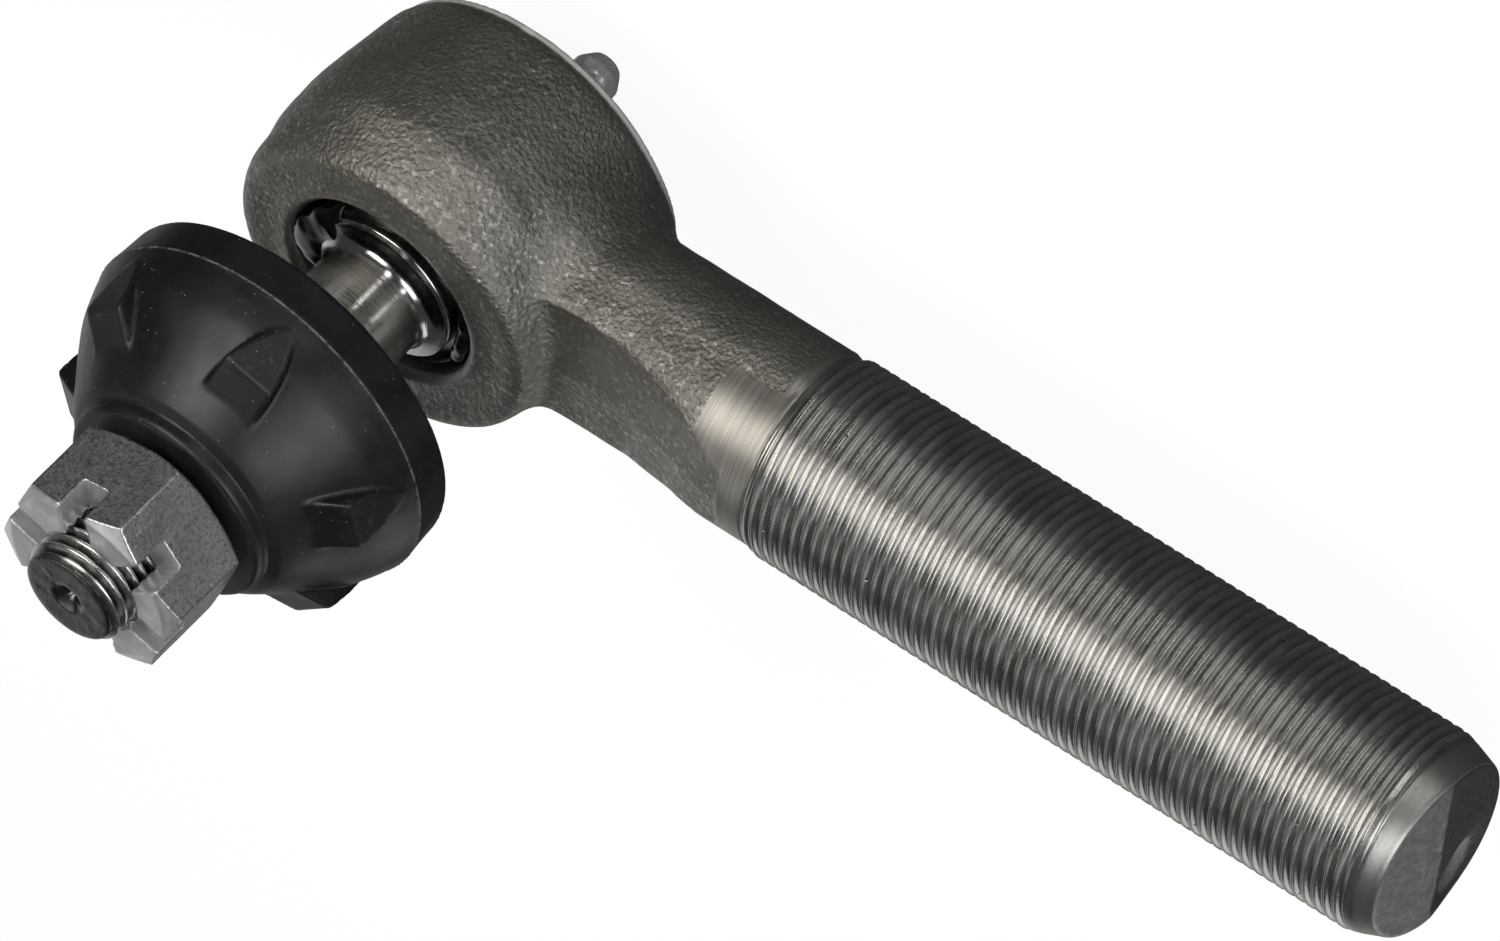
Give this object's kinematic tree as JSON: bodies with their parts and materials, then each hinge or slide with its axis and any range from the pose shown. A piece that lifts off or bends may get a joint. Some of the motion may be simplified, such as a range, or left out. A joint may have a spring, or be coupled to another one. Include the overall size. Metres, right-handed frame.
{
  "type": "tie rod end",
  "caption": "Steering tie rod end: forged ball socket with a long threaded shank, tapered ball stud, rubber dust cover, castle nut and grease fitting.",
  "frame": {"origin": "centre of the ball, where the stud's axis and the shank's axis meet", "axes": "+X along the threaded shank to its free end; +Z along the ball stud to its threaded end; +Y completes the right-handed frame"},
  "size_m": [0.1731, 0.0498, 0.1017],
  "materials": {
    "forged_steel": "sand-blasted forging, oiled",
    "ground_steel": "ground and polished",
    "bearing_steel": "smooth",
    "liner_polymer": "moulded bearing polymer",
    "spring_steel": "oiled spring steel",
    "seal_rubber": "matt",
    "zinc_plate": "clear zinc plate",
    "nut_zinc": "zinc plated, fine blasted flats",
    "cover_rubber": "satin moulded rubber"
  },
  "bodies": {
    "socket": {"housing": "forged_steel", "seat_liner": "liner_polymer", "cover_seal": "seal_rubber", "cover_plate": "zinc_plate", "disc_spring": "spring_steel", "grease_fitting": "zinc_plate", "fitting_spring": "spring_steel", "fitting_spring_seat": "zinc_plate"},
    "thrust": {"pressure_seat": "bearing_steel"},
    "swivel": {"half_ball": "bearing_steel"},
    "stud": {"ball_stud": "ground_steel"},
    "boot": {"dust_cover": "cover_rubber"},
    "nut": {"castle_nut": "nut_zinc"},
    "check": {"fitting_check_ball": "bearing_steel"}
  },
  "joints": [
    {"name": "swing_direction", "type": "hinge", "parent": "socket", "child": "thrust", "pos_m": [0, 0, 0], "axis": [0, 0, 1], "continuous": true},
    {"name": "swing", "type": "hinge", "parent": "thrust", "child": "swivel", "pos_m": [0, 0, 0], "axis": [0, 1, 0], "range_deg": [-15, 15]},
    {"name": "stud_spin", "type": "hinge", "parent": "swivel", "child": "stud", "pos_m": [0, 0, 0], "axis": [0, 0, 1], "continuous": true},
    {"name": "dust_cover_slide", "type": "slide", "parent": "stud", "child": "boot", "axis": [0, 0, 1], "range_m": [-0.008, 0]},
    {"name": "nut_turn", "type": "hinge", "parent": "stud", "child": "nut", "pos_m": [0, 0, 0.06], "axis": [0, 0, 1], "continuous": true},
    {"name": "check_ball_lift", "type": "slide", "parent": "socket", "child": "check", "axis": [0, 0, 1], "range_m": [0, 0.0012], "stiffness_N_per_m": 60, "springref_m": -0.0005, "deforming": ["fitting_spring"]}
  ]
}
